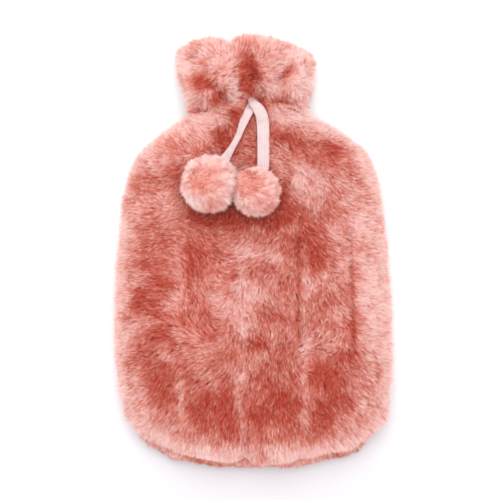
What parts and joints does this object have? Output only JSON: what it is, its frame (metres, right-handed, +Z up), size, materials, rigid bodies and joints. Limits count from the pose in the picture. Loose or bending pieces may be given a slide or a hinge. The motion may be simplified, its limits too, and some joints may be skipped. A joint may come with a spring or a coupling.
{
  "type": "hot water bottle cover",
  "caption": "Plush fur pouch for a hot water bottle, gathered at the neck under a ruffle by a satin ribbon whose ends carry fur pompoms.",
  "frame": {"origin": "centre of the cover's footprint, on the surface that it lies on", "axes": "+X across the cover, +Y from its bottom edge to its neck and ruffle, +Z up out of its front"},
  "size_m": [0.23, 0.3568, 0.083],
  "materials": {
    "rose_fur": "dense short plush, rose with paler tips",
    "pale_fur": "dense short plush, pale rose",
    "satin": "woven satin ribbon, pale pink"
  },
  "bodies": {
    "root": {"front_panel": "rose_fur", "back_panel": "rose_fur", "ribbon_left": "satin", "ribbon_right": "satin", "pompom_left": "pale_fur", "pompom_right": "pale_fur"}
  },
  "joints": []
}
